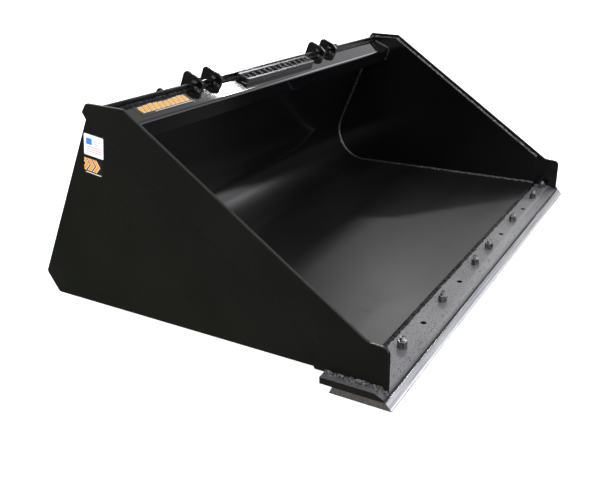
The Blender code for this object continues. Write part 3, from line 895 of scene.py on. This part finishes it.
def side_beads(side, paint, rough_paint):
    """Where the cutter, the side sheet, the shell and the lip's end meet, on one side."""
    out = X * SIDES[side]

    face = out * BODY_HALF
    path = [
        face + Vector((0, BASE_REAR - FOOT_BEAD_INSET, -GAP)),
        face + Vector((0, BASE_BEVEL_TOP, -GAP)),
        face + FOOT_BEAD_TIP,
    ]

    def off_base(point):
        return Z if point.y > BASE_BEVEL_TOP else BEVEL_UP

    weld("cutter_foot", path, out, off_base, rough_paint, side)

    path = [point + out * SHEET_IN for point in shell_section(0.0)]
    weld("inner_seam", path, -out, shell_normal, paint, side)
    path = [point + out * SHEET_IN for point in shell_section(-SHEET)]
    path = [point for point in path if point.z > OUTER_SEAM_START]
    weld("outer_seam", path, -out, lambda point: -shell_normal(point), paint, side)

    inner = out * (BODY_HALF - CUTTER)
    path = [
        inner + slope_line(SHEET_SETBACK, SHEET_FRONT + TOP_BEAD_INSET),
        inner + slope_line(SHEET_SETBACK, TOP_CORNER),
        inner + Vector((0, SHEET_TOP_REAR.x - TOP_BEAD_INSET, SHEET_TOP_REAR.y)),
    ]

    def off_sheet(point):
        return SLOPE_UP if point.y < TOP_CORNER else Z

    weld("cutter_inner", path, -out, off_sheet, rough_paint, side)

    sheet = out * (BODY_HALF - CUTTER - GAP)
    path = [
        sheet + slope_line(CUTTER_WIDTH, CUTTER_FOOT + OUTER_BEAD_INSET),
        sheet + slope_line(CUTTER_WIDTH, CUTTER_REAR - OUTER_BEAD_INSET),
    ]
    weld("cutter_outer", path, out, -SLOPE_UP, paint, side)

    ring = [
        on_back(LIP_END_START, LIP_TOP),
        on_back(-LIP_DEPTH + LIP_CHAMFER, LIP_TOP),
        on_back(-LIP_DEPTH, LIP_TOP - LIP_CHAMFER),
        on_back(-LIP_DEPTH, LIP_TOP - LIP_HEIGHT + LIP_CHAMFER),
    ]

    def off_lip(point):
        on_top = (point - on_back(0, LIP_TOP)).dot(BACK_UP) > LIP_END_TURN
        return BACK_UP if on_top else -BACK_OUT

    path = [point + out * SHEET_IN for point in ring]
    weld("lip_end", path, -out, off_lip, paint, side)


def lip_beads(paint, dark):
    """Between the lip and the back's inner face, above and below."""
    high = LIP_TOP - LIP_INSET
    path = [on_back(-GAP, high, x) for x in (-SEAM_HALF, SEAM_HALF)]
    weld("lip_rear", path, -BACK_OUT, BACK_UP, dark)
    low = LIP_TOP - LIP_HEIGHT + LIP_INSET
    path = [on_back(-GAP, low, x) for x in (-SEAM_HALF, SEAM_HALF)]
    weld("lip_under", path, -BACK_OUT, -BACK_UP, paint)


def rib_beads(place, side, paint):
    """Along both faces of one rib: at the back, at the mount plate, and round its ear."""
    back = SHEET + GAP
    plate = RIB_DEPTH + GAP
    lines = {
        # ends, each as distance behind the back's inner face and height up it
        "rib": ([(back, height) for height in RIB_BEAD_HEIGHTS], BACK_OUT),
        "rib_plate": ([(plate, height) for height in PLATE_BEAD_HEIGHTS], -BACK_OUT),
    }
    if place != "outer":
        lines["ear_toe"] = ([(behind, LIP_TOP) for behind in EAR_TOE_BEAD], BACK_UP)
        lines["ear_over"] = ([(behind, BACK_LENGTH) for behind in EAR_TOP_BEAD], BACK_UP)
    meshes = []
    for face in (-1, 1):
        x = SIDES[side] * RIB_PLACES[place] + face * RIB / 2
        for kind, (ends, up) in lines.items():
            path = [on_back(behind, height, x) for behind, height in ends]
            name = f"{kind}_{place}_{side}"
            meshes.append(bead(name, path, X * face, up, **WELDS[kind]))
    name = f"weld_rib_{place}_{side}"
    piece(name, joined(meshes, name), paint)


def weld_beads(paint, dark, rough_paint):
    base_beads(paint, dark)
    for side in SIDES:
        side_beads(side, paint, rough_paint)
    lip_beads(paint, dark)
    for place in RIB_PLACES:
        for side in SIDES:
            rib_beads(place, side, paint)


# ---------------------------------------------------------------- bolts and grating


def bolt_ring(z, radii):
    """A ring of points at a height, each with its own radius."""
    ring = []
    for k, radius in enumerate(radii):
        turn = math.tau * k / BOLT_SIDES
        ring.append((radius * math.cos(turn), radius * math.sin(turn), z))
    return ring


def thread_radii(level):
    """The radii of one of the thread's rings. The last ring is cut down to the root."""
    radii = []
    for k in range(BOLT_SIDES):
        phase = (level / THREAD_LEVELS + k / BOLT_SIDES) % 1.0
        crest = (1 - abs(2 * phase - 1)) ** THREAD_SHAPE
        radii.append(BOLT_ROOT + (BOLT_SHANK - BOLT_ROOT) * crest)
    if level == THREAD_TURNS * THREAD_LEVELS:
        radii = [min(radius, BOLT_ROOT + THREAD_END) for radius in radii]
    return radii


def bolt_rings():
    """A plow bolt, from its countersunk head up to the end of its thread."""
    thread_foot = BOLT_TOP - THREAD_TURNS * THREAD_PITCH
    profile = [(radius, EDGE_LOW + height) for radius, height in BOLT_PROFILE]
    profile.append((BOLT_SHANK, thread_foot - THREAD_RUNOUT))
    rings = [bolt_ring(z, [radius] * BOLT_SIDES) for radius, z in profile]
    for level in range(THREAD_TURNS * THREAD_LEVELS + 1):
        z = thread_foot + THREAD_PITCH * level / THREAD_LEVELS
        rings.append(bolt_ring(z, thread_radii(level)))
    return rings


def threaded_bolts(look):
    """Plow bolts with a countersunk head and a cut thread at the nut's end."""
    mesh = lofted("threaded_bolt", bolt_rings(), THREAD_SHARP)
    mesh.materials.append(look)
    first = -HOLE_PITCH * (HOLE_COUNT - 1) / 2
    filled = [i for i in range(HOLE_COUNT) if i not in EMPTY_HOLES]
    for number, i in enumerate(filled):
        name = f"threaded_bolt_{number + 1}"
        made = bpy.data.objects.new(name, mesh)
        bpy.context.scene.collection.objects.link(made)
        place = Matrix.Translation((first + HOLE_PITCH * i, BOLT_ROW, 0))
        made.matrix_world = STANCE @ place @ Matrix.Rotation(BOLT_TWIST * number, 4, "Z")
        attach(made, "root")
        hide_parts(f"plow_bolt_{number + 1}")


def slab(shape, centre, size, turn=0.0):
    """Adds a block to a mesh, in the lip's axes (across, back, up), and gives its corners."""
    start = len(shape.verts)
    bmesh.ops.create_cube(shape, size=1)
    shape.verts.ensure_lookup_table()
    new = shape.verts[start:]
    place = (
        Matrix.Translation(centre)
        @ Matrix.Rotation(turn, 4, "Z")
        @ Matrix.Diagonal((*size, 1))
    )
    bmesh.ops.transform(shape, verts=new, matrix=place)
    return new


def grating_tooth(shape, x, y, turn):
    """A tooth that narrows towards its top."""
    tooth = slab(shape, (x, y, GRATE_HEIGHT - TOOTH_CENTRE), TOOTH_SIZE, turn)
    peak = max(v.co.z for v in tooth)
    middle = sum((v.co for v in tooth), Vector()) / len(tooth)
    for v in tooth:
        if v.co.z > peak - SAME_HEIGHT:
            v.co.x = middle.x + (v.co.x - middle.x) * TOOTH_TAPER[0]
            v.co.y = middle.y + (v.co.y - middle.y) * TOOTH_TAPER[1]


def grating_struts(shape):
    """Crossed pairs of toothed struts, which leave open diamonds between them."""
    reach = GRATE_LENGTH / 2 - STRUT_INSET
    strut = (STRUT_THICK, GRATE_DEPTH - STRUT_CLEARANCE, STRUT_HEIGHT)
    for i in range(GRATE_CELLS + 1):
        x = (i - GRATE_CELLS / 2) * (GRATE_LENGTH / GRATE_CELLS)
        x = max(-reach, min(reach, x))
        for turn in STRUT_TURNS:
            slab(shape, (x, 0, GRATE_HEIGHT - STRUT_CENTRE), strut, turn)
        for k in range(TEETH):
            y = (k - TEETH // 2) * GRATE_DEPTH / TEETH_SPREAD
            for turn in STRUT_TURNS:
                grating_tooth(shape, x - math.tan(turn) * y, y, turn)


def step_grating(look):
    """Serrated grip-strut channel: two flanged rails, two end plates and toothed struts."""
    shape = bmesh.new()
    rail = (GRATE_LENGTH, GRATE_SHEET, GRATE_HEIGHT)
    flange = (GRATE_LENGTH, GRATE_FLANGE, GRATE_SHEET)
    for y, inwards in ((-GRATE_DEPTH / 2, 1), (GRATE_DEPTH / 2, -1)):
        slab(shape, (0, y, GRATE_HEIGHT / 2), rail)
        y += inwards * GRATE_FLANGE / 2
        slab(shape, (0, y, GRATE_HEIGHT - GRATE_SHEET / 2), flange)
    plate = (GRATE_SHEET, GRATE_DEPTH - END_CLEARANCE, END_HEIGHT)
    for end in (-1, 1):
        x = end * (GRATE_LENGTH / 2 - END_INSET)
        slab(shape, (x, 0, GRATE_HEIGHT - END_CENTRE), plate)
    grating_struts(shape)
    mesh = bpy.data.meshes.new("step_grating")
    shape.to_mesh(mesh)
    shape.free()
    origin = on_back(TREAD_REAR - TREAD_DEPTH / 2, LIP_TOP + GAP)
    axes = Matrix((X, BACK_OUT, BACK_UP)).transposed().to_4x4()
    mesh.transform(Matrix.Translation(origin) @ axes)
    made = piece("step_grating", mesh, look)
    round_edges(made, GRATE_BEVEL, GRATE_BEVEL_SEGMENTS, SHARP_ANGLE)
    shade(made)
    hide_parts("step_tread")


# ---------------------------------------------------------------- stage


def camera():
    az, el, roll = CAMERA_AZIMUTH, CAMERA_ELEVATION, CAMERA_ROLL
    back = Vector((math.sin(az) * math.cos(el), -math.cos(az) * math.cos(el), math.sin(el)))
    right = Z.cross(back).normalized()
    up = back.cross(right)
    right, up = (
        right * math.cos(roll) + up * math.sin(roll),
        up * math.cos(roll) - right * math.sin(roll),
    )
    axes = Matrix((right, up, back)).transposed().to_4x4()
    data = bpy.data.cameras.new("camera")
    data.sensor_width = SENSOR
    data.lens = FOCAL_PIXELS / IMAGE_WIDTH * SENSOR
    made = bpy.data.objects.new("camera", data)
    bpy.context.scene.collection.objects.link(made)
    made.matrix_world = STANCE @ Matrix.Translation(CAMERA_PLACE) @ axes
    bpy.context.scene.camera = made


def softbox(name, azimuth, elevation, distance, width, height, radiance):
    """A rectangular light of a given brightness, facing the bucket."""
    az, el = math.radians(azimuth), math.radians(elevation)
    way = Vector((math.cos(el) * math.cos(az), math.cos(el) * math.sin(az), math.sin(el)))
    data = bpy.data.lights.new(name, "AREA")
    data.shape = "RECTANGLE"
    data.size = width
    data.size_y = height
    data.energy = radiance * math.pi * width * height
    made = bpy.data.objects.new(name, data)
    bpy.context.scene.collection.objects.link(made)
    made.location = LAMP_TARGET + way * distance
    made.rotation_euler = way.to_track_quat("Z", "Y").to_euler()
    made.visible_camera = False


def pale_floor():
    """A broad white floor that glows a little, so that it merges with the background."""
    shape = bmesh.new()
    bmesh.ops.create_grid(
        shape, x_segments=FLOOR_CELLS, y_segments=FLOOR_CELLS, size=FLOOR_HALF
    )
    mesh = bpy.data.meshes.new("floor")
    shape.to_mesh(mesh)
    shape.free()
    floor = bpy.data.objects.new("floor", mesh)
    bpy.context.scene.collection.objects.link(floor)
    floor.location.z = CAD_BOX[0].z - FLOOR_DROP
    look, n, shader = material("pale_floor")
    clouds = n.noise(scale=1.5, detail=2)
    n.feed(shader.inputs["Base Color"], n.blend(clouds, grey(0.88), grey(0.92)))
    shader.inputs["Roughness"].default_value = 0.9
    shader.inputs["Specular IOR Level"].default_value = 0.1
    shader.inputs["Emission Color"].default_value = grey(1)
    shader.inputs["Emission Strength"].default_value = FLOOR_GLOW
    mesh.materials.append(look)
    floor.visible_glossy = False


SKY_LOW = rgb(1.0, 1.0, 1.02)
SKY_HIGH = rgb(0.62, 0.62, 0.64)
SKY_FRONT = rgb(2.0, 2.0, 2.1)
GROUND_LEFT = rgb(0.02, 0.02, 0.022)
GROUND_RIGHT = rgb(0.165, 0.18, 0.135)


def studio_world():
    """What the paint reflects: a bright sky, brighter in front, over a dark ground."""
    world = bpy.data.worlds.new("studio")
    bpy.context.scene.world = world
    world.use_nodes = True
    n = Nodes(world.node_tree)
    way = n.parts(n.add("ShaderNodeTexCoord").outputs["Generated"])
    sky = n.blend(n.span(way["Z"], low=0.0, high=0.75), SKY_LOW, SKY_HIGH)
    sky = n.blend(n.span(way["Y"], low=-0.30, high=-0.75), sky, SKY_FRONT)
    ground = n.blend(n.span(way["X"], low=0.1, high=-0.5), GROUND_LEFT, GROUND_RIGHT)
    horizon = n.span(way["Z"], low=-0.05, high=-0.01)
    background = world.node_tree.nodes["Background"]
    n.feed(background.inputs["Color"], n.blend(horizon, ground, sky))


def stage():
    bpy.context.scene.view_settings.view_transform = "Standard"
    pale_floor()
    studio_world()
    for name, settings in LAMPS.items():
        softbox(name, *settings)


# ---------------------------------------------------------------- main

coat = black_paint("powder_coat_black", COAT_BLACK, rough=0.15, specular=0.5, edge_rub_and_highlight=0.10)
# The near side: the same coat with a brighter, greener black as painted light, and rougher,
# with less specular.
near_side_lit_coat = black_paint(
    "powder_coat_near_side_lit",
    NEAR_SIDE_LIT_BLACK,
    rough=0.26,
    specular=0.32,
    peel=0.4,
    edge_wear_and_highlight=0.25,
    edge_rub_and_highlight=0.08,
)
floor_coat = black_paint(
    "powder_coat_floor",
    FLOOR_BLACK,
    rough=0.40,
    specular=0.5,
    peel=0.3,
    streaks=(0.5, 1.6, 1.6),
    gloss_rise=(0.050, 0.085, 0.38),
)
steel = bare_steel()
nuts = hardware("dark_hardware", dark=0.13, pale=0.34)
bolts = hardware("dark_hardware_threads", dark=0.07, pale=0.16)
beads = bead_paint("weld_bead_paint", dark=0.008, pale=0.05, rough=0.20, specular=0.75)
dark_beads = bead_paint(
    "weld_bead_paint_dark", dark=0.001, pale=0.05, rough=0.24, specular=0.12
)
rough_beads = bead_paint(
    "weld_bead_paint_rough", dark=0.008, pale=0.30, rough=0.22, specular=0.75
)
lip_coat = black_paint(
    "powder_coat_lip",
    LIP_BLACK,
    rough=0.045,
    specular=0.5,
    peel=0.04,
    edge_rub_and_highlight=0.10,
    waves=0.01,
)
# The tread's strong, pale edge rubbing is worn paint and also a painted highlight on its
# teeth.
grate_coat = black_paint(
    "powder_coat_tread", TREAD_BLACK, rough=0.30, specular=0.6, edge_wear_and_highlight=0.9, edge_rub_and_highlight=0.45
)
base_coat = painted_sheen_coat()

# How CAD nodes are finished, by the start of their names: look, width of the rounded edges,
# and their segments. Plow bolts keep their edges, and labels get their looks below.
FINISHES = {
    "base_edge": (base_coat, 0.0010, 2),
    "bolt_on_edge": (steel, 0.0007, 2),
    "bucket_shell": (floor_coat, 0.0009, 2),
    "hex_nut": (nuts, 0.0005, 2),
    "mount_plate": (coat, 0.0012, 3),
    "mount_rib": (coat, 0.0012, 3),
    "side_cutter_left": (coat, 0.0011, 2),
    "side_cutter_right": (near_side_lit_coat, 0.0011, 2),
    "side_sheet_left": (coat, 0.0011, 2),
    "side_sheet_right": (near_side_lit_coat, 0.0011, 2),
    "step_tread": (coat, 0.0012, 3),
    "top_lip_tube": (lip_coat, 0, 0),
}
for name, node in NODES.items():
    if name.startswith("plow_bolt"):
        repaint(node, bolts)
    elif "label" in name:
        finish_edges(node, 0, 0)
    else:
        look, width, segments = next(
            finish for start, finish in FINISHES.items() if name.startswith(start)
        )
        repaint(node, look)
        finish_edges(node, width, segments)

# Each sticker's centre, its directions, its ground colour and its drawing
SIDE_LEAN = math.radians(8)
SIDE_ALONG = Vector((0, math.cos(SIDE_LEAN), math.sin(SIDE_LEAN)))
SIDE_UP = Vector((0, -math.sin(SIDE_LEAN), math.cos(SIDE_LEAN)))
SIDE_X = -BODY_HALF + CUTTER
LIP_PLACE = on_back(-0.0375, LIP_TOP + 0.0007, -0.6305)
UPPER_PLACE = Vector((SIDE_X, 0.884, 0.4876))
LOWER_PLACE = Vector((SIDE_X, 0.894, 0.4282))
BLACK_VINYL = (0.012, 0.012, 0.013)
WHITE_VINYL = (0.90, 0.91, 0.93)
SIDE_VINYL = (0.010, 0.010, 0.011)
STICKERS = {
    "lip_label": (LIP_PLACE, X, BACK_OUT, BLACK_VINYL, draw_slashes),
    "side_label_upper": (UPPER_PLACE, -SIDE_ALONG, SIDE_UP, WHITE_VINYL, draw_notice),
    "side_label_lower": (LOWER_PLACE, -SIDE_ALONG, SIDE_UP, SIDE_VINYL, draw_chevrons),
}
for name, (centre, along, across, ground, draw) in STICKERS.items():
    repaint(NODES[name], sticker(name, centre, along, across, ground, draw))

weld_beads(beads, dark_beads, rough_beads)
threaded_bolts(bolts)
step_grating(grate_coat)
camera()
stage()
